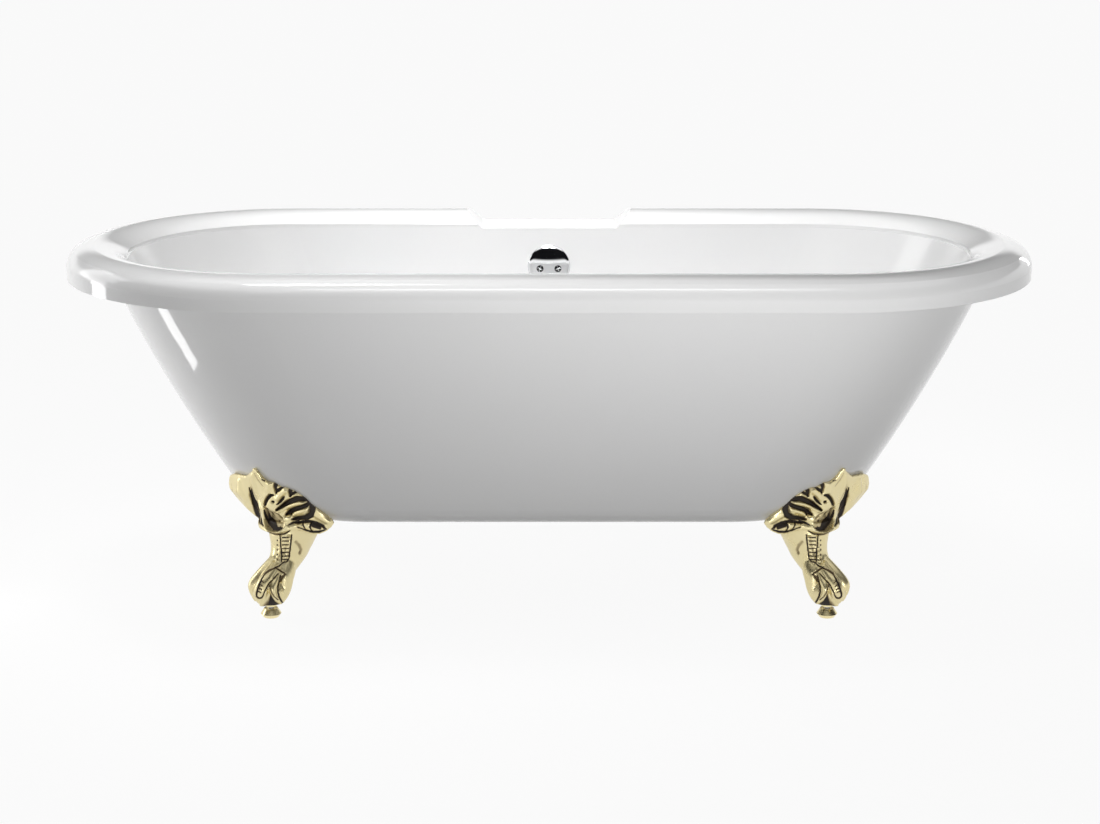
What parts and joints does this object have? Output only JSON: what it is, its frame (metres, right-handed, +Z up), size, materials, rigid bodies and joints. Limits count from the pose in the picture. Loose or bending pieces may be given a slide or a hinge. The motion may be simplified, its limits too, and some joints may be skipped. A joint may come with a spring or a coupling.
{
  "type": "clawfoot bathtub",
  "caption": "Double-ended white roll-top bath with a flat tap ledge, cast brass claw feet with levellers, and an exposed chrome waste and overflow.",
  "frame": {"origin": "on the floor under the middle of the bath", "axes": "+X along the bath, +Y towards the tap ledge and the overflow, +Z up"},
  "size_m": [1.7, 0.75, 0.63],
  "materials": {
    "acrylic": "high gloss white",
    "bond": "cured adhesive",
    "plywood": "raw plywood",
    "foot_brass": "polished pale brass, dark in the recesses",
    "steel": "zinc plated",
    "chrome": "polished",
    "rubber": "matt black",
    "stopper_brass": "machined"
  },
  "bodies": {
    "bath": {"basin_shell": "acrylic", "outer_shell": "acrylic", "rim_bond": "bond", "base_board": "plywood", "tap_ledge_board": "plywood", "foot_front_left": "foot_brass", "foot_front_right": "foot_brass", "foot_back_left": "foot_brass", "foot_back_right": "foot_brass", "leveller_nuts": "foot_brass", "foot_bolts": "steel", "foot_washers": "steel", "foot_inserts": "steel", "overflow_plate": "chrome", "overflow_screws": "chrome", "overflow_elbow": "chrome", "overflow_tube": "chrome", "waste_tee": "chrome", "tail_pipe": "chrome", "shoe_tube": "chrome", "drain_shoe": "chrome", "slip_nuts": "chrome", "drain_flange": "chrome", "overflow_seal": "rubber", "overflow_gasket": "rubber", "drain_gasket": "rubber", "drain_seal": "rubber", "slip_washers": "rubber", "stopper_cartridge": "stopper_brass"},
    "stopper": {"stopper_cap": "chrome", "stopper_seal": "rubber", "stopper_plunger": "stopper_brass"},
    "glide_front_left": {"leveller_glide_front_left": "foot_brass"},
    "stud_front_left": {"leveller_stud_front_left": "steel"},
    "glide_front_right": {"leveller_glide_front_right": "foot_brass"},
    "stud_front_right": {"leveller_stud_front_right": "steel"},
    "glide_back_left": {"leveller_glide_back_left": "foot_brass"},
    "stud_back_left": {"leveller_stud_back_left": "steel"},
    "glide_back_right": {"leveller_glide_back_right": "foot_brass"},
    "stud_back_right": {"leveller_stud_back_right": "steel"}
  },
  "joints": [
    {"name": "stopper_press", "type": "slide", "parent": "bath", "child": "stopper", "axis": [0, 0, 1], "range_m": [-0.009, 0], "stiffness_N_per_m": 600, "springref_m": 0.012},
    {"name": "leveller_front_left_travel", "type": "slide", "parent": "bath", "child": "glide_front_left", "axis": [0, 0, -1], "range_m": [0, 0.0121]},
    {"name": "leveller_front_left_turn", "type": "hinge", "parent": "glide_front_left", "child": "stud_front_left", "pos_m": [-0.4855, -0.212, 0.03], "axis": [0, 0, -1], "range_deg": [0, 2468.6]},
    {"name": "leveller_front_right_travel", "type": "slide", "parent": "bath", "child": "glide_front_right", "axis": [0, 0, -1], "range_m": [0, 0.0121]},
    {"name": "leveller_front_right_turn", "type": "hinge", "parent": "glide_front_right", "child": "stud_front_right", "pos_m": [0.4855, -0.212, 0.03], "axis": [0, 0, -1], "range_deg": [0, 2468.6]},
    {"name": "leveller_back_left_travel", "type": "slide", "parent": "bath", "child": "glide_back_left", "axis": [0, 0, -1], "range_m": [0, 0.0121]},
    {"name": "leveller_back_left_turn", "type": "hinge", "parent": "glide_back_left", "child": "stud_back_left", "pos_m": [-0.4855, 0.212, 0.03], "axis": [0, 0, -1], "range_deg": [0, 2468.6]},
    {"name": "leveller_back_right_travel", "type": "slide", "parent": "bath", "child": "glide_back_right", "axis": [0, 0, -1], "range_m": [0, 0.0121]},
    {"name": "leveller_back_right_turn", "type": "hinge", "parent": "glide_back_right", "child": "stud_back_right", "pos_m": [0.4855, 0.212, 0.03], "axis": [0, 0, -1], "range_deg": [0, 2468.6]}
  ],
  "couplings": [
    {"joint": "leveller_front_left_travel", "follows": "leveller_front_left_turn", "m_per_rad": 0.00027852},
    {"joint": "leveller_front_right_travel", "follows": "leveller_front_right_turn", "m_per_rad": 0.00027852},
    {"joint": "leveller_back_left_travel", "follows": "leveller_back_left_turn", "m_per_rad": 0.00027852},
    {"joint": "leveller_back_right_travel", "follows": "leveller_back_right_turn", "m_per_rad": 0.00027852}
  ]
}
